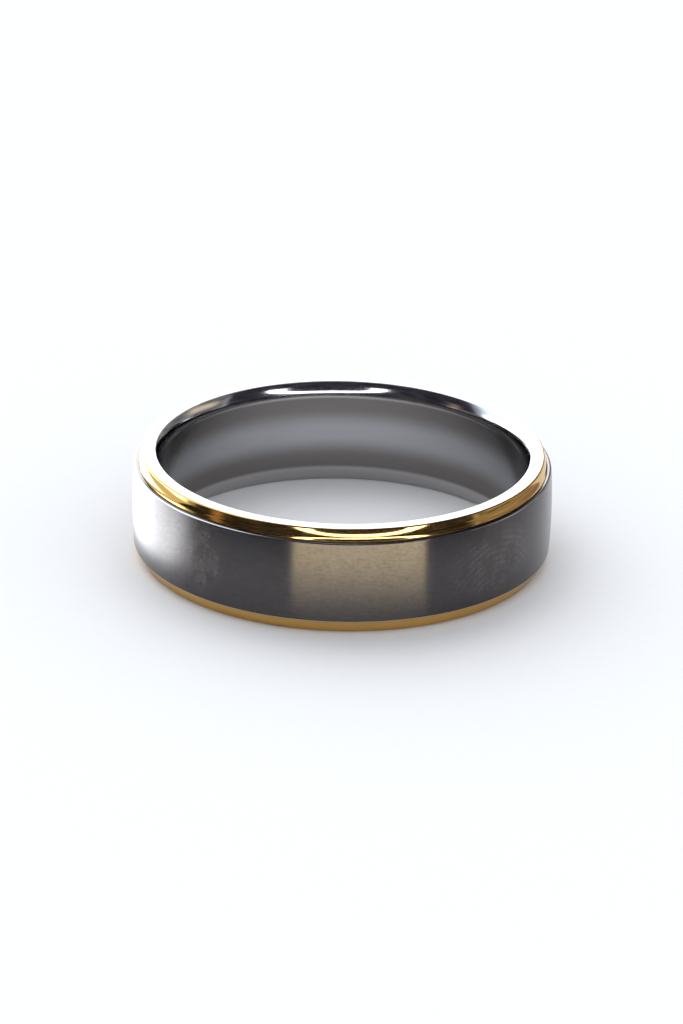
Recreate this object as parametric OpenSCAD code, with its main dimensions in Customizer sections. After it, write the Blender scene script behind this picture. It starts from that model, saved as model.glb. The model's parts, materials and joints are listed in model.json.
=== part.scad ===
// Two-tone comfort-fit wedding band with stepped edges.
// A liner carries a brushed centre band and two polished gold edge rings. The edge rings are
// brazed to the ledges of the centre band, and the lips of the liner are flared over them.
// Units are millimetres. The ring lies flat: its axis is +Z and its lower rim is at z = 0.

/* [Finger] */
// Inside diameter along the straight middle of the bore
inside_d = 20.2; // [15:0.1:23]
// Length over which each end of the bore is rounded
comfort_len = 0.9; // [0.7:0.05:1.2]
// Radial opening of the bore at each rim
comfort_depth = 0.3; // [0.15:0.01:0.3]

/* [Ring] */
// Width of the ring along the finger
ring_w = 6; // [5:0.1:8]
// Wall thickness at the crown, from bore to outside
wall_t = 1.53; // [1.48:0.01:1.7]

/* [Centre band] */
// Rise of the brushed face between its edges and its middle
crown_rise = 0.07; // [0.04:0.01:0.12]
// Radius of the polished edges beside the brushed face
edge_r = 0.15; // [0.08:0.01:0.16]
// Angle at which each polished edge breaks away from the brushed face, in degrees
edge_break = 20; // [10:1:40]

/* [Gold edge rings] */
// Height of each step, from the rim down to the ledge
step_h = 0.67; // [0.6:0.01:0.75]
// Depth of the step below the crown, at the foot of the shoulder
step_d = 0.31; // [0.28:0.01:0.34]
// Lean of the shoulder at its foot, in degrees from vertical
foot_lean = 11; // [5:1:14]
// Radius of the convex flank of the shoulder
flank_r = 3.2; // [2.6:0.1:5]
// Radius of the crest between the flank and the flat rim
crest_r = 0.1; // [0.06:0.01:0.12]

/* [Liner and braze] */
// Wall thickness of the liner under the centre band
liner_t = 0.5; // [0.45:0.01:0.55]
// Slope of the underside of the flared lips, in degrees from the rim
lip_slope = 35; // [30:1:38]
// Thickness of the brazed seam under each edge ring
seam_t = 0.05; // [0.03:0.01:0.06]
// How far the braze stays back from the foot of the shoulder
seam_inset = 0.03; // [0.01:0.01:0.05]

/* [Hidden] */
$fn = 256;

// Radii, from the finger outwards
bore_r = inside_d / 2;
seat_r = bore_r + liner_t;
outer_r = bore_r + wall_t;
foot_r = outer_r - step_d;

// Heights above the middle plane of the ring
half_w = ring_w / 2;
land_z = half_w - comfort_len;
ledge_z = half_w - step_h;
foot_z = ledge_z + seam_t;

// A circle tangent to the bore and passing through the mouth at the rim
comfort_r = (pow(comfort_len, 2) + pow(comfort_depth, 2)) / (2 * comfort_depth);

// Centre of the flank's arc, which leaves the foot at foot_lean
flank_centre = [foot_r - flank_r * cos(foot_lean), foot_z - flank_r * sin(foot_lean)];

// The crest touches the flank from inside and the rim from below
crest_z = half_w - crest_r;
crest_reach = sqrt(pow(flank_r - crest_r, 2) - pow(crest_z - flank_centre.y, 2));
rim_r = flank_centre.x + crest_reach;
crest_angle = atan2(crest_z - flank_centre.y, crest_reach);
crest_join_z = crest_z + crest_r * sin(crest_angle);

// The lip's cone runs from the rim's outer edge down to the seat
lip_root_z = half_w - (rim_r - seat_r) * tan(lip_slope);

// Arc of the crowned face, and the rounded edge between it and the ledge
edge_centre_z = ledge_z - edge_r;
edge_centre_r = outer_r - crown_rise - edge_r * cos(edge_break);
crown_r = (pow(edge_centre_z, 2) + pow(crown_rise, 2)) / (2 * crown_rise);

// Turns a section, drawn as radius by height above the middle plane, into a ring
module turned() {
    translate([0, 0, half_w])
        rotate_extrude()
            children();
}

// Draws a section twice, above and below the middle plane
module both_ends() {
    children();
    mirror([0, 1]) children();
}

// Rectangle between two radii and two heights
module block(r_in, r_out, z_low, z_high) {
    translate([r_in, z_low]) square([r_out - r_in, z_high - z_low]);
}

// What lies outside a circle, beyond its centre and above from_z: taken away, it rounds a corner
module corner_waste(centre, radius, from_z) {
    difference() {
        block(centre.x, centre.x + 2 * radius, from_z, from_z + 2 * radius);
        translate(centre) circle(r = radius);
    }
}

// Lip of the liner above its seat, bounded outside by the flared cone
module lip_outline() {
    polygon([
        [bore_r, land_z],
        [seat_r, land_z],
        [seat_r, lip_root_z],
        [rim_r, half_w],
        [bore_r, half_w]
    ]);
}

module liner_end_section() {
    intersection() {
        lip_outline();
        translate([bore_r + comfort_r, land_z]) circle(r = comfort_r);
    }
}

module centre_band_section() {
    difference() {
        intersection() {
            block(seat_r, outer_r, -ledge_z, ledge_z);
            translate([outer_r - crown_r, 0]) circle(r = crown_r);
        }
        both_ends()
            corner_waste([edge_centre_r, edge_centre_z], edge_r, edge_centre_z);
    }
}

// Shoulder before the countersink for the lip is taken out of it
module shoulder_section() {
    difference() {
        intersection() {
            block(seat_r, foot_r, foot_z, half_w);
            translate(flank_centre) circle(r = flank_r);
        }
        corner_waste([rim_r, crest_z], crest_r, crest_join_z);
    }
}

module edge_ring_section() {
    difference() {
        shoulder_section();
        lip_outline();
    }
}

module braze_section() {
    block(seat_r, foot_r - seam_inset, ledge_z, foot_z);
}

// Sleeve against the finger, flared over the edge rings at both rims
module comfort_fit_liner() {
    color("gainsboro")
        turned() {
            block(bore_r, seat_r, -land_z, land_z);
            both_ends() liner_end_section();
        }
}

// Crowned band with a brushed face, rounded polished edges and a ledge at each side
module centre_band() {
    color("dimgray")
        turned() centre_band_section();
}

// Polished gold shoulder at the top rim
module upper_edge_ring() {
    color("goldenrod")
        turned() edge_ring_section();
}

// Polished gold shoulder at the bottom rim
module lower_edge_ring() {
    color("goldenrod")
        turned() mirror([0, 1]) edge_ring_section();
}

// Thin brazed washer between the upper ledge and its edge ring
module upper_braze_seam() {
    color("saddlebrown")
        turned() braze_section();
}

// Thin brazed washer between the lower ledge and its edge ring
module lower_braze_seam() {
    color("saddlebrown")
        turned() mirror([0, 1]) braze_section();
}

comfort_fit_liner();
centre_band();
upper_edge_ring();
lower_edge_ring();
upper_braze_seam();
lower_braze_seam();
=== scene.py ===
"""Two-tone comfort-fit wedding band, lying flat on white paper in a studio that it mirrors."""
import json
import math
from collections import namedtuple

import bpy
import numpy as np
from mathutils import Matrix, Vector


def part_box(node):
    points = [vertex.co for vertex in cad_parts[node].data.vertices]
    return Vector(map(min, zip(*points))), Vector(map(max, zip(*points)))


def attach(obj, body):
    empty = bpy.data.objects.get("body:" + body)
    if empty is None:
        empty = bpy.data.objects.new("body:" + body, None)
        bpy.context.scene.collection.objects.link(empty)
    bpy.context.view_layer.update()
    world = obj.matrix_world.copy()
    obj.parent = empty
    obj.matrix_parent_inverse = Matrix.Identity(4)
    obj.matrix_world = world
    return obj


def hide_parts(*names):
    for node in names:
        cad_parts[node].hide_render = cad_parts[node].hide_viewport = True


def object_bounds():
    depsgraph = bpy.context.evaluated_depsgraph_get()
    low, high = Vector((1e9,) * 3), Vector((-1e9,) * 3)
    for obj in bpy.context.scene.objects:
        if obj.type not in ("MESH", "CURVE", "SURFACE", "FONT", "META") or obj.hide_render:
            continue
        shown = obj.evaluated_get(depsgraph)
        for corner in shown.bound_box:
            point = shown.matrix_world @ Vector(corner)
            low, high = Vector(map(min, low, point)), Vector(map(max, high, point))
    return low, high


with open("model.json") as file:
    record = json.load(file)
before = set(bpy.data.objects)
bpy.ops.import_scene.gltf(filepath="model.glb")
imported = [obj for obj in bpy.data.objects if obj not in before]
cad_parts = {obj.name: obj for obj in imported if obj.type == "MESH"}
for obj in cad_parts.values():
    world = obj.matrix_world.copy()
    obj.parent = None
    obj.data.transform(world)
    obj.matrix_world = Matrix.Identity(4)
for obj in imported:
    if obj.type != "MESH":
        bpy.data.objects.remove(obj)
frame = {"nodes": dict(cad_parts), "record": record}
CAD_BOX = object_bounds()
MM = 0.001
TINY = 0.001 * MM

# ------------------------------------------------------------------ dimensions of the ring


def reaches(node):
    """Distance from the axis and height of every vertex of a CAD node."""
    return [(math.hypot(v.co.x, v.co.y), v.co.z) for v in frame["nodes"][node].data.vertices]


def radii(node):
    """Inner and outer radius of a CAD node."""
    reach = [r for r, _ in reaches(node)]
    return min(reach), max(reach)


def mount(name):
    """One mount of the record."""
    return next(m for m in frame["record"]["mounts"] if m["name"] == name)


# Heights ending in _Z are measured from the middle plane of the ring, apart from MID_Z itself
MID_Z = (CAD_BOX[0][2] + CAD_BOX[1][2]) / 2
HALF_W = (CAD_BOX[1][2] - CAD_BOX[0][2]) / 2
BORE_R, RIM_R = radii("comfort_fit_liner")
SEAT_R, FACE_R = radii("centre_band")
FOOT_R = radii("upper_edge_ring")[1]
SEAM_R = radii("upper_braze_seam")[1]
MOUTH_R = min(r for r, z in reaches("comfort_fit_liner") if z > MID_Z + HALF_W - TINY)
LAND_Z = mount("finger_bore")["dims"]["length_mm"] * MM / 2
LEDGE_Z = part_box("centre_band")[1][2] - MID_Z
FOOT_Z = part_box("upper_edge_ring")[0][2] - MID_Z

CROWN_RISE = 0.07 * MM
EDGE_R = 0.15 * MM
EDGE_BREAK = math.radians(20)
FLARE_R = 0.9 * MM
FLARE_LEAN = math.radians(23)
WAIST_LEAN = math.radians(11)
CREST_R = 0.1 * MM
LIP_SLOPE = math.radians(35)
LIP_ROOT = (SEAT_R, HALF_W - (RIM_R - SEAT_R) * math.tan(LIP_SLOPE))
MOUTH_FILLET = 0.05 * MM

SEGMENTS = 384
ARC_STEP = math.radians(4)
SHORT_ARC_STEPS = 12

# ------------------------------------------------------------------ turned sections
# A section is drawn as radius by height above the middle plane, anticlockwise, in runs.
# A run is a list of (point, outward normal), so that each corner between runs stays sharp.


def line(a, b):
    """Straight run from a to b, its outward normal on the right."""
    along = Vector(b) - Vector(a)
    normal = Vector((along.y, -along.x)).normalized()
    return [(Vector(a), normal), (Vector(b), normal)]


def leaning(angle):
    """Normal of a surface that leans back by this angle."""
    return Vector((math.cos(angle), math.sin(angle)))


def arc(centre, radius, start, stop, least=SHORT_ARC_STEPS):
    """Run round centre, its normal leaning from start to stop. A negative radius makes it hollow."""
    steps = max(least, math.ceil(abs(stop - start) / ARC_STEP))
    return [(Vector(centre) + radius * leaning(angle), leaning(angle))
            for angle in np.linspace(start, stop, steps + 1)]


def flipped(vector):
    """The same point or normal on the other side of the middle plane."""
    return Vector((vector.x, -vector.y))


def mirrored(runs):
    """The same runs below the middle plane, in reverse order, so that they stay anticlockwise."""
    return [[(flipped(point), flipped(normal)) for point, normal in reversed(run)]
            for run in reversed(runs)]


def swept(radial, axial, turns):
    """Points or normals of the section, turned by each of these angles."""
    return np.stack([
        np.outer(np.cos(turns), radial),
        np.outer(np.sin(turns), radial),
        np.tile(axial, (len(turns), 1)),
    ], axis=-1)


def turn(name, runs):
    """A closed ring turned from a closed section, with the section's own normals."""
    points = []
    normals = []
    next_normals = []
    for run in runs:
        for (point, normal), (_, next_normal) in zip(run, run[1:]):
            points.append((point.x, point.y + MID_Z))
            normals.append(normal)
            next_normals.append(next_normal)
    turns = np.linspace(0, 2 * math.pi, SEGMENTS, endpoint=False)
    next_turns = np.roll(turns, -1)
    count = len(points)
    here = np.arange(SEGMENTS)[:, None] * count
    there = np.roll(here, -1, axis=0)
    low = np.arange(count)[None, :]
    high = (low + 1) % count
    faces = np.stack([here + low, there + low, there + high, here + high], axis=-1)
    corners = np.stack([
        swept(*np.transpose(normals), turns),
        swept(*np.transpose(normals), next_turns),
        swept(*np.transpose(next_normals), next_turns),
        swept(*np.transpose(next_normals), turns),
    ], axis=2)

    mesh = bpy.data.meshes.new(name)
    verts = swept(*np.transpose(points), turns)
    mesh.from_pydata(verts.reshape(-1, 3).tolist(), [], faces.reshape(-1, 4).tolist())
    mesh.shade_smooth()
    mesh.normals_split_custom_set(corners.reshape(-1, 3).tolist())
    piece = bpy.data.objects.new(name, mesh)
    bpy.context.scene.collection.objects.link(piece)
    return piece


def upper_crossing(centre_a, radius_a, centre_b, radius_b):
    """The higher of the two points where two circles cross."""
    a = Vector(centre_a)
    b = Vector(centre_b)
    gap = (b - a).length
    along = (b - a) / gap
    reach = (gap ** 2 + radius_a ** 2 - radius_b ** 2) / (2 * gap)
    half_chord = math.sqrt(radius_a ** 2 - reach ** 2)
    across = Vector((-along.y, along.x))
    crossings = [a + reach * along + side * half_chord * across for side in (-1, 1)]
    return max(crossings, key=height_of)


def height_of(point):
    return point.y


def angle_on(centre, point):
    """Angle of a point round a centre, from the radial direction."""
    offset = Vector(point) - Vector(centre)
    return math.atan2(offset.y, offset.x)


def liner_runs():
    """Sleeve with rounded comfort-fit ends and lips flared out to the rim."""
    opening = MOUTH_R - BORE_R
    length = HALF_W - LAND_Z
    comfort_r = (length ** 2 + opening ** 2) / (2 * opening)
    comfort_centre = (BORE_R + comfort_r, LAND_Z)
    fillet_z = HALF_W - MOUTH_FILLET
    reach = math.sqrt((comfort_r - MOUTH_FILLET) ** 2 - (fillet_z - LAND_Z) ** 2)
    fillet_centre = (comfort_centre[0] - reach, fillet_z)
    join = angle_on(comfort_centre, fillet_centre)
    upper = [
        line((SEAT_R, 0), LIP_ROOT),
        line(LIP_ROOT, (RIM_R, HALF_W)),
        line((RIM_R, HALF_W), (fillet_centre[0], HALF_W)),
        arc(fillet_centre, MOUTH_FILLET, math.pi / 2, join, least=6),
        arc(comfort_centre, comfort_r, join, math.pi),
        line((BORE_R, LAND_Z), (BORE_R, 0)),
    ]
    return upper + mirrored(upper)


def band_runs():
    """Crowned face, rounded edges, and a flat ledge under each shoulder."""
    edge_z = LEDGE_Z - EDGE_R
    crown_r = (edge_z ** 2 + CROWN_RISE ** 2) / (2 * CROWN_RISE)
    crown_centre = (FACE_R - crown_r, 0)
    edge_centre = (FACE_R - CROWN_RISE - EDGE_R * math.cos(EDGE_BREAK), edge_z)
    brink = upper_crossing(crown_centre, crown_r, edge_centre, EDGE_R)
    upper = [
        arc(crown_centre, crown_r, 0, angle_on(crown_centre, brink)),
        arc(edge_centre, EDGE_R, angle_on(edge_centre, brink), math.pi / 2),
        line((edge_centre[0], LEDGE_Z), (SEAT_R, LEDGE_Z)),
        line((SEAT_R, LEDGE_Z), (SEAT_R, 0)),
    ]
    return upper + mirrored(upper)


def shoulder_runs():
    """Shoulder with a flared foot and a convex flank, crest, and the cone under the liner's lip."""
    foot = Vector((FOOT_R, FOOT_Z))
    flare_centre = foot + FLARE_R * leaning(FLARE_LEAN)
    waist = flare_centre - FLARE_R * leaning(WAIST_LEAN)
    crest_centre = Vector((RIM_R, HALF_W - CREST_R))
    to_crest = crest_centre - waist
    outward = to_crest.dot(leaning(WAIST_LEAN)) + CREST_R
    flank_r = (CREST_R ** 2 - to_crest.length_squared) / (2 * outward)
    flank_centre = waist - flank_r * leaning(WAIST_LEAN)
    crest_angle = angle_on(flank_centre, crest_centre)
    return [
        line((SEAT_R, FOOT_Z), foot),
        arc(flare_centre, -FLARE_R, FLARE_LEAN, WAIST_LEAN, least=8),
        arc(flank_centre, flank_r, WAIST_LEAN, crest_angle),
        arc(crest_centre, CREST_R, crest_angle, math.pi / 2),
        line((RIM_R, HALF_W), LIP_ROOT),
        line(LIP_ROOT, (SEAT_R, FOOT_Z)),
    ]


def seam_runs():
    """Thin washer of braze between a ledge and a shoulder."""
    return [
        line((SEAT_R, LEDGE_Z), (SEAM_R, LEDGE_Z)),
        line((SEAM_R, LEDGE_Z), (SEAM_R, FOOT_Z)),
        line((SEAM_R, FOOT_Z), (SEAT_R, FOOT_Z)),
        line((SEAT_R, FOOT_Z), (SEAT_R, LEDGE_Z)),
    ]


# ------------------------------------------------------------------ shader nodes


def rgb(r, g, b):
    return (r, g, b, 1.0)


class Nodes:
    """Short names for building one node tree."""

    def __init__(self, tree):
        self.tree = tree
        tree.nodes.clear()

    def new(self, kind, **settings):
        node = self.tree.nodes.new("ShaderNode" + kind)
        for name, value in settings.items():
            setattr(node, name, value)
        return node

    def put(self, socket, value):
        """Links an output to a socket, or sets a plain value on it."""
        if isinstance(value, bpy.types.NodeSocket):
            self.tree.links.new(value, socket)
        else:
            socket.default_value = value

    def math(self, operation, a, b=0.0):
        node = self.new("Math", operation=operation)
        self.put(node.inputs[0], a)
        self.put(node.inputs[1], b)
        return node.outputs[0]

    def plus(self, a, b):
        return self.math("ADD", a, b)

    def minus(self, a, b):
        return self.math("SUBTRACT", a, b)

    def times(self, *factors):
        product = factors[0]
        for factor in factors[1:]:
            product = self.math("MULTIPLY", product, factor)
        return product

    def squares(self, a, b):
        """a squared plus b squared."""
        return self.plus(self.math("POWER", a, 2.0), self.math("POWER", b, 2.0))

    def distance(self, a, b):
        return self.math("SQRT", self.squares(a, b))

    def ease(self, value, low, high):
        """0 at low to 1 at high, with soft ends. Low may be the larger."""
        node = self.new("MapRange", interpolation_type="SMOOTHSTEP")
        falling = low > high
        self.put(node.inputs["Value"], value)
        node.inputs["From Min"].default_value = min(low, high)
        node.inputs["From Max"].default_value = max(low, high)
        node.inputs["To Min"].default_value = 1.0 if falling else 0.0
        node.inputs["To Max"].default_value = 0.0 if falling else 1.0
        return node.outputs["Result"]

    def scale(self, value, low, high):
        """0..1 to low..high."""
        node = self.new("MapRange")
        self.put(node.inputs["Value"], value)
        node.inputs["To Min"].default_value = low
        node.inputs["To Max"].default_value = high
        return node.outputs["Result"]

    def mix(self, factor, a, b):
        """Colour a where the factor is 0, and colour b where it is 1."""
        node = self.new("Mix", data_type="RGBA")
        self.put(node.inputs["Factor"], factor)
        self.put(node.inputs["A"], a)
        self.put(node.inputs["B"], b)
        return node.outputs["Result"]

    def blend(self, factor, a, b):
        """Number a where the factor is 0, and number b where it is 1."""
        return self.plus(self.times(a, self.minus(1.0, factor)), self.times(factor, b))

    def over(self, mask, under, top):
        """Lays one shader over another where the mask is 1."""
        shade = self.new("MixShader")
        self.put(shade.inputs[0], mask)
        self.put(shade.inputs[1], under)
        self.put(shade.inputs[2], top)
        return shade.outputs[0]

    def place(self):
        """Position in the ring's frame, apart from the height on a stage piece."""
        return self.new("TexCoord").outputs["Object"]

    def parts(self, vector):
        """The x, y and z of a vector."""
        node = self.new("SeparateXYZ")
        self.put(node.inputs[0], vector)
        return [node.outputs[axis] for axis in "XYZ"]

    def azimuth(self, x, ahead):
        """Degrees to the right of straight ahead."""
        return self.times(self.math("ARCTAN2", x, ahead), 180 / math.pi)

    def around(self):
        """Azimuth round the ring in degrees, 0 in front and positive to the right."""
        x, y, _ = self.parts(self.place())
        return self.azimuth(x, self.times(y, -1.0))

    def off_middle(self):
        """Distance above or below the middle plane of the ring."""
        _, _, z = self.parts(self.place())
        return self.math("ABSOLUTE", self.minus(z, MID_Z))

    def noise(self, vector, cells, detail=2.0, roughness=0.5):
        """Noise with this many cells per unit along each axis."""
        mapping = self.new("Mapping")
        self.put(mapping.inputs["Vector"], vector)
        mapping.inputs["Scale"].default_value = cells
        node = self.new("TexNoise")
        self.put(node.inputs["Vector"], mapping.outputs["Vector"])
        node.inputs["Scale"].default_value = 1.0
        node.inputs["Detail"].default_value = detail
        node.inputs["Roughness"].default_value = roughness
        return node.outputs["Fac"]

    def bump(self, height, depth, strength=1.0):
        node = self.new("Bump")
        node.inputs["Strength"].default_value = strength
        node.inputs["Distance"].default_value = depth
        self.put(node.inputs["Height"], height)
        return node.outputs["Normal"]


def material(name):
    """A new material: its node helper and its principled shader."""
    mat = bpy.data.materials.new(name)
    mat.use_nodes = True
    nodes = Nodes(mat.node_tree)
    shader = nodes.new("BsdfPrincipled")
    output = nodes.new("OutputMaterial")
    nodes.put(output.inputs["Surface"], shader.outputs["BSDF"])
    return mat, nodes, shader


# ------------------------------------------------------------------ materials

Touch = namedtuple("Touch", "azimuth rise half_width half_height strength ridged")
TOUCHES = [
    Touch(azimuth=-40, rise=0.1 * MM, half_width=1.5 * MM, half_height=2.3 * MM, strength=0.9, ridged=0.15),
    Touch(azimuth=47, rise=0.1 * MM, half_width=3.9 * MM, half_height=2.4 * MM, strength=0.9, ridged=0.6),
    Touch(azimuth=2, rise=1.0 * MM, half_width=2.4 * MM, half_height=1.0 * MM, strength=0.3, ridged=0.3),
    Touch(azimuth=135, rise=0.4 * MM, half_width=3.0 * MM, half_height=1.8 * MM, strength=0.7, ridged=0.6),
    Touch(azimuth=-130, rise=-0.5 * MM, half_width=2.4 * MM, half_height=1.7 * MM, strength=0.6, ridged=0.4),
]
RIDGE_PITCH = 0.36 * MM
RIDGE_CENTRE_DROP = 3 * MM
RIDGE_WOBBLE = 9.0

# The face and the bore are darker than bare metal, because they are set against the strong
# lights below
BRUSHED_DARK = rgb(0.06, 0.059, 0.062)
BRUSHED_LIGHT = rgb(0.082, 0.08, 0.081)
STAINED = rgb(0.105, 0.09, 0.087)
SMUDGED = rgb(0.15, 0.132, 0.132)
POLISHED_EDGE = rgb(0.55, 0.545, 0.54)
# Painted shade: the step under each shoulder is painted darker, where the shoulder shades it
PAINTED_LEDGE_SHADE = rgb(0.18, 0.165, 0.155)
# Heights over which the brushing gives way to the polished edge, and the edge to the painted shade of the
# ledge
BRUSHING_ENDS = (LEDGE_Z - 0.09 * MM, LEDGE_Z - 0.072 * MM)
LEDGE_SHADE_BEGINS = (LEDGE_Z - 0.03 * MM, LEDGE_Z - 0.012 * MM)

GOLD_DEEP = rgb(0.61, 0.37, 0.11)
GOLD_PALE = rgb(0.67, 0.42, 0.14)

BORE_DARK = rgb(0.18, 0.167, 0.161)
# Painted reflection: the middle of the bore is painted brighter, in place of the lit floor that it mirrors
BORE_PAINTED_REFLECTION = rgb(0.345, 0.35, 0.365)
MOUTH_METAL = rgb(0.48, 0.47, 0.47)
RIM_METAL = rgb(0.75, 0.75, 0.745)
# Heights over which the painted reflection along the middle fades out, and over which the mouth and the rim
# begin
PAINTED_REFLECTION_ENDS = (1.5 * MM, 0.2 * MM)
MOUTH_BEGINS = (LAND_Z - 0.1 * MM, LAND_Z + 0.15 * MM)
RIM_BEGINS = (HALF_W - 0.06 * MM, HALF_W - 0.01 * MM)
RIM_METALLIC = 0.6

BRAZE_DARK = rgb(0.26, 0.18, 0.09)
BRAZE_PALE = rgb(0.40, 0.29, 0.16)


def touch_mark(nodes, touch, blotches, wobble):
    """0..1: one oval finger mark, with ridges that curve round a point below it."""
    _, _, z = nodes.parts(nodes.place())
    across = nodes.times(nodes.minus(nodes.around(), touch.azimuth), FACE_R * math.pi / 180)
    up = nodes.minus(z, MID_Z + touch.rise)
    oval = nodes.squares(
        nodes.math("DIVIDE", across, touch.half_width),
        nodes.math("DIVIDE", up, touch.half_height),
    )
    reach = nodes.distance(across, nodes.plus(up, RIDGE_CENTRE_DROP))
    wave = nodes.math("SINE", nodes.plus(nodes.times(reach, 2 * math.pi / RIDGE_PITCH), wobble))
    ridges = nodes.scale(nodes.ease(wave, -0.8, 0.8), 1.0 - touch.ridged, 1.0)
    return nodes.times(nodes.ease(oval, 1.0, 0.2), ridges, blotches, touch.strength)


def finger_marks(nodes):
    """0..1: the faint marks that fingers leave on the face."""
    vector = nodes.place()
    blotches = nodes.ease(nodes.noise(vector, (900, 900, 600), detail=4.0, roughness=0.7), 0.36, 0.64)
    wobble = nodes.times(nodes.noise(vector, (300, 300, 300)), RIDGE_WOBBLE)
    marks = 0.0
    for touch in TOUCHES:
        marks = nodes.math("MAXIMUM", marks, touch_mark(nodes, touch, blotches, wobble))
    return marks


def brushed_band_material():
    """Dark metal, brushed around the ring, with polished edges and painted shade on the ledges."""
    mat, nodes, shader = material("brushed_band")
    vector = nodes.place()
    height = nodes.off_middle()
    polished = nodes.ease(height, *BRUSHING_ENDS)
    # Mask of the painted shade on the ledge and the top of the edge's rounding
    ledge = nodes.ease(height, *LEDGE_SHADE_BEGINS)
    grain = nodes.noise(vector, (1300, 1300, 24000), detail=3.0, roughness=0.6)
    mottle = nodes.noise(vector, (4200, 4200, 5500), detail=4.0, roughness=0.75)
    stain = nodes.ease(mottle, 0.3, 0.7)
    smudge = finger_marks(nodes)

    brushed = nodes.mix(nodes.ease(grain, 0.3, 0.7), BRUSHED_DARK, BRUSHED_LIGHT)
    brushed = nodes.mix(nodes.times(stain, 0.6), brushed, STAINED)
    brushed = nodes.mix(smudge, brushed, SMUDGED)
    # Painted shade: the ledge is painted darker than the polished edge
    edge = nodes.mix(ledge, POLISHED_EDGE, PAINTED_LEDGE_SHADE)
    nodes.put(shader.inputs["Base Color"], nodes.mix(polished, brushed, edge))
    rough = nodes.plus(nodes.scale(grain, 0.2, 0.26), nodes.times(smudge, 0.08))
    nodes.put(shader.inputs["Roughness"], nodes.blend(polished, rough, 0.1))
    lift = nodes.times(grain, nodes.minus(1.0, polished))
    nodes.put(shader.inputs["Normal"], nodes.bump(lift, depth=0.002 * MM, strength=0.5))
    tangent = nodes.new("Tangent", direction_type="RADIAL", axis="Z")
    nodes.put(shader.inputs["Tangent"], tangent.outputs["Tangent"])
    shader.inputs["Metallic"].default_value = 1.0
    shader.inputs["Anisotropic"].default_value = 0.9
    shader.inputs["Anisotropic Rotation"].default_value = 0.25
    return mat


def gold_material():
    """Polished gold with fine handling scratches."""
    mat, nodes, shader = material("polished_gold")
    vector = nodes.place()
    cloud = nodes.noise(vector, (260, 260, 900))
    scuff = nodes.noise(vector, (500, 500, 16000), detail=3.0)
    nodes.put(shader.inputs["Base Color"], nodes.mix(cloud, GOLD_DEEP, GOLD_PALE))
    nodes.put(shader.inputs["Roughness"], nodes.scale(scuff, 0.05, 0.11))
    nodes.put(shader.inputs["Normal"], nodes.bump(scuff, depth=0.0003 * MM, strength=0.4))
    shader.inputs["Metallic"].default_value = 1.0
    return mat


def liner_material():
    """Satin bore, painted brighter along its middle as a painted reflection, with polished mouths and silver
    rims.

    The rims are partly diffuse, so that they look silver from every side.
    """
    mat, nodes, shader = material("satin_liner")
    vector = nodes.place()
    height = nodes.off_middle()
    rim = nodes.ease(height, *RIM_BEGINS)
    mouth = nodes.ease(height, *MOUTH_BEGINS)
    grain = nodes.noise(vector, (2500, 2500, 9000), detail=3.0, roughness=0.6)
    cloud = nodes.noise(vector, (200, 200, 500))
    # Painted reflection: a brighter band along the middle of the bore
    painted_reflection = nodes.times(nodes.ease(height, *PAINTED_REFLECTION_ENDS), nodes.scale(cloud, 0.8, 1.2))

    bore = nodes.mix(painted_reflection, BORE_DARK, BORE_PAINTED_REFLECTION)
    bore = nodes.mix(mouth, bore, MOUTH_METAL)
    nodes.put(shader.inputs["Base Color"], nodes.mix(rim, bore, RIM_METAL))
    nodes.put(shader.inputs["Metallic"], nodes.scale(rim, 1.0, RIM_METALLIC))
    rough = nodes.minus(nodes.scale(grain, 0.14, 0.22), nodes.times(mouth, 0.07))
    nodes.put(shader.inputs["Roughness"], nodes.blend(rim, rough, 0.3))
    lift = nodes.times(grain, nodes.minus(1.0, rim))
    nodes.put(shader.inputs["Normal"], nodes.bump(lift, depth=0.002 * MM, strength=0.5))
    return mat


def braze_material():
    """Dull, darkened joint line."""
    mat, nodes, shader = material("dull_braze")
    blotch = nodes.noise(nodes.place(), (3000, 3000, 6000), detail=3.0)
    nodes.put(shader.inputs["Base Color"], nodes.mix(blotch, BRAZE_DARK, BRAZE_PALE))
    nodes.put(shader.inputs["Roughness"], nodes.scale(blotch, 0.3, 0.5))
    nodes.put(shader.inputs["Normal"], nodes.bump(blotch, depth=0.003 * MM))
    shader.inputs["Metallic"].default_value = 1.0
    return mat


# ------------------------------------------------------------------ the ring


def add_ring():
    """The six pieces, each standing for its CAD node."""
    band = brushed_band_material()
    gold = gold_material()
    liner = liner_material()
    braze = braze_material()
    pieces = [
        ("liner", liner_runs(), liner, "liner", "comfort_fit_liner"),
        ("brushed_band", band_runs(), band, "band", "centre_band"),
        ("upper_shoulder", shoulder_runs(), gold, "gold", "upper_edge_ring"),
        ("lower_shoulder", mirrored(shoulder_runs()), gold, "gold", "lower_edge_ring"),
        ("upper_seam", seam_runs(), braze, "braze", "upper_braze_seam"),
        ("lower_seam", mirrored(seam_runs()), braze, "braze", "lower_braze_seam"),
    ]
    for name, runs, finish, slot, node in pieces:
        piece = turn(name, runs)
        piece.data.materials.append(finish)
        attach(piece, "root")
        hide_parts(node)


# ------------------------------------------------------------------ table
# The paper is all that the camera sees of the table. The cloth and the two glows over it are
# only there for the ring to mirror.

PAPER_SIZE = 3.0
PAPER_DARK = rgb(0.62, 0.625, 0.635)
PAPER_PALE = rgb(0.64, 0.645, 0.655)

CLOTH_START = 27 * MM
# Degrees round the ring, 0 in front and positive to the right
CLOTH_TURNS = range(-90, 125, 5)
CLOTH_BLACK = rgb(0.02, 0.018, 0.018)
CLOTH_RUST = rgb(0.3, 0.2, 0.15)
CLOTH_BROWN = rgb(0.16, 0.13, 0.12)
CLOTH_TAN = rgb(0.36, 0.33, 0.3)

WINDOW = rgb(0.93, 0.97, 1.0)
POOL = rgb(1.0, 0.85, 0.53)


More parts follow.
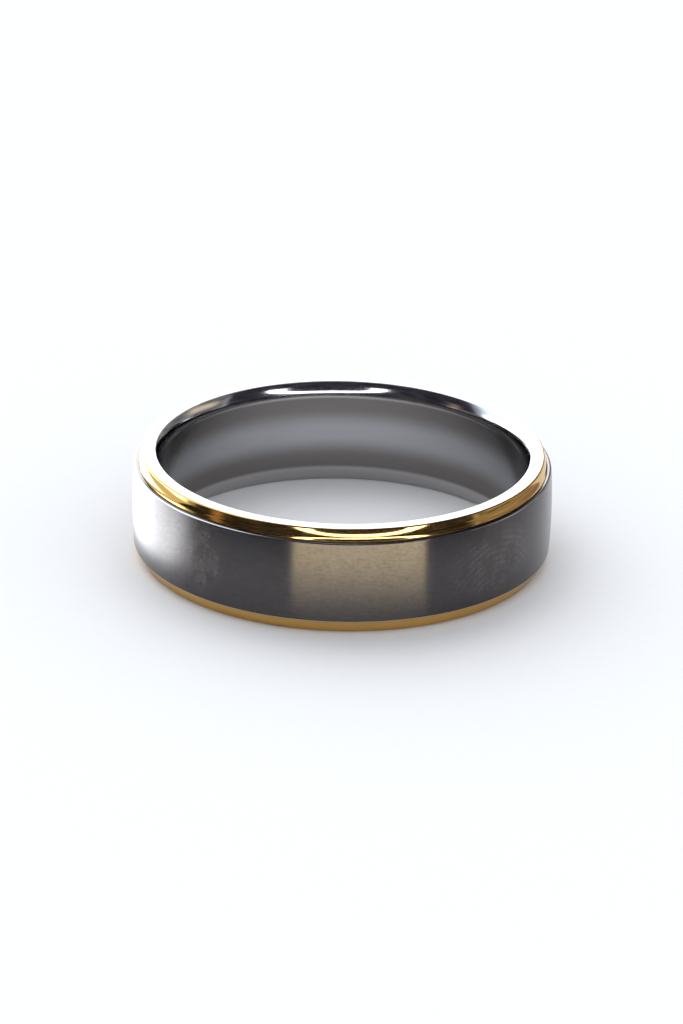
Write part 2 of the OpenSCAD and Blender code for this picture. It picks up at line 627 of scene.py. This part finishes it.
def add_sheet(name, corners, faces, lift, finish):
    """A flat stage piece, at this height over the plane that the ring stands on."""
    mesh = bpy.data.meshes.new(name)
    mesh.from_pydata([(x, y, 0) for x, y in corners], [], faces)
    mesh.materials.append(finish)
    sheet = bpy.data.objects.new(name, mesh)
    bpy.context.scene.collection.objects.link(sheet)
    sheet.location.z = CAD_BOX[0][2] + lift
    return sheet


def add_rectangle(name, x_span, y_span, lift, finish):
    left, right = x_span
    front, back = y_span
    corners = [(left, front), (right, front), (right, back), (left, back)]
    return add_sheet(name, corners, [(0, 1, 2, 3)], lift, finish)


def only_in_reflections(sheet):
    """Hides a stage piece from everything but reflections."""
    sheet.visible_camera = False
    sheet.visible_diffuse = False
    sheet.visible_shadow = False


def paper_material():
    """Plain white paper, without gloss, so that it mirrors nothing."""
    mat, nodes, shader = material("white_paper")
    fibre = nodes.noise(nodes.place(), (1500, 1500, 1500), detail=3.0)
    nodes.put(shader.inputs["Base Color"], nodes.mix(fibre, PAPER_DARK, PAPER_PALE))
    shader.inputs["Roughness"].default_value = 0.9
    shader.inputs["Specular IOR Level"].default_value = 0.0
    return mat


def cloth_material():
    """Black cloth, with a rusty stripe on the left and tan cloth on the right."""
    mat, nodes, shader = material("dark_cloth")
    azimuth = nodes.around()
    weave = nodes.noise(nodes.place(), (30, 30, 30), detail=3.0, roughness=0.6)
    stripe = nodes.times(nodes.ease(azimuth, -74, -71), nodes.ease(azimuth, -64, -68))
    left = nodes.mix(stripe, CLOTH_BLACK, CLOTH_RUST)
    right = nodes.mix(nodes.ease(weave, 0.35, 0.65), CLOTH_BROWN, CLOTH_TAN)
    nodes.put(shader.inputs["Base Color"], nodes.mix(nodes.ease(azimuth, 68, 74), left, right))
    shader.inputs["Roughness"].default_value = 0.9
    shader.inputs["Specular IOR Level"].default_value = 0.0
    return mat


def glowing_material(name, colour, strength, shape):
    """Light of one colour, clear where the shape is 0."""
    mat = bpy.data.materials.new(name)
    mat.use_nodes = True
    nodes = Nodes(mat.node_tree)
    emission = nodes.new("Emission")
    emission.inputs["Color"].default_value = colour
    emission.inputs["Strength"].default_value = strength
    clear = nodes.new("BsdfTransparent")
    surface = nodes.over(shape(nodes), clear.outputs[0], emission.outputs[0])
    nodes.put(nodes.new("OutputMaterial").inputs["Surface"], surface)
    return mat


def pool_shape(nodes):
    """A fan from the ring's focus, half a radius from the axis.

    A curved mirror sends everything through its focus, so the face shows the fan upright.
    """
    x, y, _ = nodes.parts(nodes.place())
    ahead = nodes.minus(-FACE_R / 2, y)
    azimuth = nodes.azimuth(x, ahead)
    reach = nodes.distance(x, ahead)
    return nodes.times(
        nodes.ease(azimuth, -27, -24.5),
        nodes.ease(azimuth, 46.5, 44),
        nodes.ease(reach, 7 * MM, 26 * MM),
        nodes.ease(reach, 60 * MM, 40 * MM),
    )


def left_glow_shape(nodes):
    """The strip of table beside the ring on the left."""
    x, y, _ = nodes.parts(nodes.place())
    return nodes.times(
        nodes.ease(x, -12.5 * MM, -14.5 * MM),
        nodes.ease(y, -10 * MM, -4 * MM),
        nodes.ease(x, -40 * MM, -28 * MM),
    )


def add_paper():
    half = PAPER_SIZE / 2
    add_rectangle("paper", (-half, half), (-half, half), -0.02 * MM, paper_material())


def add_front_cloth():
    """Fan of cloth round the front of the ring, out to the edge of the paper."""
    turns = [math.radians(angle) for angle in CLOTH_TURNS]
    near = [(CLOTH_START * math.sin(t), -CLOTH_START * math.cos(t)) for t in turns]
    far = [(PAPER_SIZE / 2 * math.sin(t), -PAPER_SIZE / 2 * math.cos(t)) for t in turns]
    count = len(turns)
    faces = [(i, i + 1, count + i + 1, count + i) for i in range(count - 1)]
    cloth = add_sheet("front_cloth", near + far, faces, 0.1 * MM, cloth_material())
    only_in_reflections(cloth)


def add_left_glow():
    """Glow over the table beside the ring, where the ring mirrors brightly lit paper."""
    finish = glowing_material("left_glow", WINDOW, 8.0, left_glow_shape)
    glow = add_rectangle("left_glow", (-400 * MM, -10 * MM), (-50 * MM, 400 * MM), 0.05 * MM, finish)
    only_in_reflections(glow)


def add_front_pool():
    """Pool of warm light in front of the ring. Its mirror image is the bright patch on the face."""
    finish = glowing_material("front_pool", POOL, 7.0, pool_shape)
    pool = add_rectangle("front_pool", (-100 * MM, 100 * MM), (-100 * MM, -8 * MM), 0.15 * MM, finish)
    only_in_reflections(pool)


# ------------------------------------------------------------------ light
# Directions are azimuth from the camera's side, positive to its right, and elevation.

# Past the poles, so that the soft edge of a pane is out of the way there
NADIR = -95
ZENITH = 95
KEY_FROM = (-0.3, 0.71, 0.64)
PAPER_LIGHT = rgb(0.95, 0.965, 1.0)
WHITE = rgb(1.0, 1.0, 1.0)
SKY = rgb(0.97, 0.985, 1.0)
ROOM = rgb(0.05, 0.047, 0.062)
RIGHT_WALL = rgb(0.95, 0.95, 1.0)
COOL_WHITE = rgb(0.75, 0.85, 1.0)
ORANGE_SPOT = rgb(1.0, 0.7, 0.52)
CREAM_SPOT = rgb(1.0, 0.85, 0.65)
LAMP = rgb(0.87, 0.89, 0.93)


class Sky(Nodes):
    """The world's node tree: light by direction."""

    def __init__(self, tree):
        super().__init__(tree)
        self.direction = self.new("TexCoord").outputs["Generated"]
        x, y, z = self.parts(self.direction)
        self.from_front = self.azimuth(x, self.times(y, -1.0))
        self.elevation = self.times(self.math("ARCSINE", z), 180 / math.pi)

    def glow(self, colour, strength):
        shade = self.new("Background")
        self.put(shade.inputs["Color"], colour)
        self.put(shade.inputs["Strength"], strength)
        return shade.outputs[0]

    def pane(self, left, right, low, high, soft):
        """1 inside a range of azimuth and elevation, with soft edges."""
        return self.times(
            self.ease(self.from_front, left - soft, left + soft),
            self.ease(self.from_front, right + soft, right - soft),
            self.ease(self.elevation, low - soft, low + soft),
            self.ease(self.elevation, high + soft, high - soft),
        )

    def bowl(self, centre, half_width, top, depth, power):
        """1 inside the lower half of an oval and straight up above it."""
        side = self.math("ABSOLUTE", self.minus(self.from_front, centre))
        drop = self.math("MAXIMUM", self.minus(top, self.elevation), 0.0)
        wide = self.math("POWER", self.math("DIVIDE", side, half_width), power)
        deep = self.math("POWER", self.math("DIVIDE", drop, depth), power)
        return self.ease(self.plus(wide, deep), 1.05, 0.95)


def with_walls(sky, seen, patchy):
    """Grey walls and a dim ceiling on the right, and a pale wall on the left."""
    ceiling = sky.pane(left=84, right=178, low=26, high=ZENITH, soft=8)
    seen = sky.over(ceiling, seen, sky.glow(ROOM, 1.0))
    right_wall = sky.pane(left=78, right=171, low=NADIR, high=34, soft=4)
    seen = sky.over(right_wall, seen, sky.glow(RIGHT_WALL, sky.scale(patchy, 0.18, 0.5)))
    left_wall = sky.pane(left=-102, right=-88, low=NADIR, high=60, soft=4)
    return sky.over(left_wall, seen, sky.glow(COOL_WHITE, 1.2))


def with_windows(sky, seen):
    """A tall window and a bright low one, behind and to the left."""
    tall = sky.pane(left=-155, right=-97, low=5, high=66, soft=5)
    seen = sky.over(tall, seen, sky.glow(COOL_WHITE, 2.5))
    low = sky.pane(left=-165, right=-97, low=-12, high=9, soft=5)
    return sky.over(low, seen, sky.glow(WINDOW, 8.0))


def with_room(sky, seen, patchy):
    """The dark room in front, with a small coloured spot at each side."""
    room = sky.pane(left=-91, right=80, low=NADIR, high=ZENITH, soft=5)
    seen = sky.over(room, seen, sky.glow(ROOM, sky.scale(patchy, 0.5, 1.8)))
    left_spot = sky.pane(left=-75, right=-69, low=0, high=14, soft=3.5)
    seen = sky.over(left_spot, seen, sky.glow(ORANGE_SPOT, 0.5))
    right_spot = sky.pane(left=86, right=110, low=8, high=20, soft=5)
    return sky.over(right_spot, seen, sky.glow(CREAM_SPOT, 1.2))


def with_lamp(sky, seen):
    """A lamp round the camera: a bright U, open at the top."""
    bowl = sky.bowl(centre=11.5, half_width=38.5, top=22.5, depth=22, power=2.0)
    hole = sky.bowl(centre=10.5, half_width=27, top=22.5, depth=15, power=3.0)
    lamp = sky.times(bowl, sky.minus(1.0, hole), sky.ease(sky.elevation, 27, 23))
    return sky.over(lamp, seen, sky.glow(LAMP, 8.0))


def reflected_studio(sky):
    """What the ring mirrors, laid from the back to the front."""
    patches = sky.noise(sky.direction, (7, 7, 12), detail=3.0, roughness=0.6)
    patchy = sky.ease(patches, 0.35, 0.7)
    above_backdrop = sky.ease(sky.elevation, 25, 29.5)
    seen = sky.glow(SKY, sky.scale(above_backdrop, 3.8, 0.2))
    seen = with_walls(sky, seen, patchy)
    seen = with_windows(sky, seen)
    seen = with_room(sky, seen, patchy)
    seen = with_lamp(sky, seen)
    overhead = sky.ease(sky.elevation, 79, 84)
    return sky.over(overhead, seen, sky.glow(SKY, 0.55))


def paper_dome(sky):
    """Soft light for the paper, stronger from the key side."""
    key = sky.new("VectorMath", operation="DOT_PRODUCT")
    sky.put(key.inputs[0], sky.direction)
    key.inputs[1].default_value = KEY_FROM
    towards_key = sky.ease(key.outputs["Value"], 0.6, 1.0)
    return sky.glow(PAPER_LIGHT, sky.scale(towards_key, 1.12, 3.5))


def add_studio_light():
    """The ring mirrors a patterned studio, tuned for its reflections as seen from the front.

    Diffuse rays, and so the paper and its shadow, get a plain soft dome. The camera sees white.
    """
    world = bpy.data.worlds.new("studio")
    bpy.context.scene.world = world
    world.use_nodes = True
    # Sampling the world as a lamp would ignore which kind of ray is asking
    world.cycles.sampling_method = "NONE"
    sky = Sky(world.node_tree)
    paths = sky.new("LightPath")
    seen = reflected_studio(sky)
    seen = sky.over(paths.outputs["Is Diffuse Ray"], seen, paper_dome(sky))
    seen = sky.over(paths.outputs["Is Camera Ray"], seen, sky.glow(WHITE, 1.0))
    output = sky.new("OutputWorld")
    sky.put(output.inputs["Surface"], seen)


# ------------------------------------------------------------------ camera

CAMERA_ELEVATION = math.radians(22.8)
CAMERA_DISTANCE = 0.349
LENS_MM = 221
SENSOR_MM = 36
# Small turns that place the ring in the frame
PAN = math.radians(0.004)
TILT = math.radians(-0.1054)
ROLL = math.radians(1.28)


def add_camera():
    """Long lens, looking down at the ring from the front."""
    data = bpy.data.cameras.new("camera")
    data.sensor_width = SENSOR_MM
    data.lens = LENS_MM
    data.clip_start = 0.01
    data.clip_end = 10
    camera = bpy.data.objects.new("camera", data)
    bpy.context.scene.collection.objects.link(camera)
    centre = Vector((0, 0, MID_Z))
    back = Vector((0, -math.cos(CAMERA_ELEVATION), math.sin(CAMERA_ELEVATION)))
    facing = back.to_track_quat("Z", "Y").to_matrix().to_4x4()
    aim = Matrix.Rotation(PAN, 4, "Y") @ Matrix.Rotation(TILT, 4, "X") @ Matrix.Rotation(ROLL, 4, "Z")
    camera.matrix_world = Matrix.Translation(centre + back * CAMERA_DISTANCE) @ facing @ aim
    bpy.context.scene.camera = camera


add_camera()
add_paper()
add_front_cloth()
add_left_glow()
add_front_pool()
add_studio_light()
add_ring()
bpy.context.scene.view_settings.view_transform = "Standard"
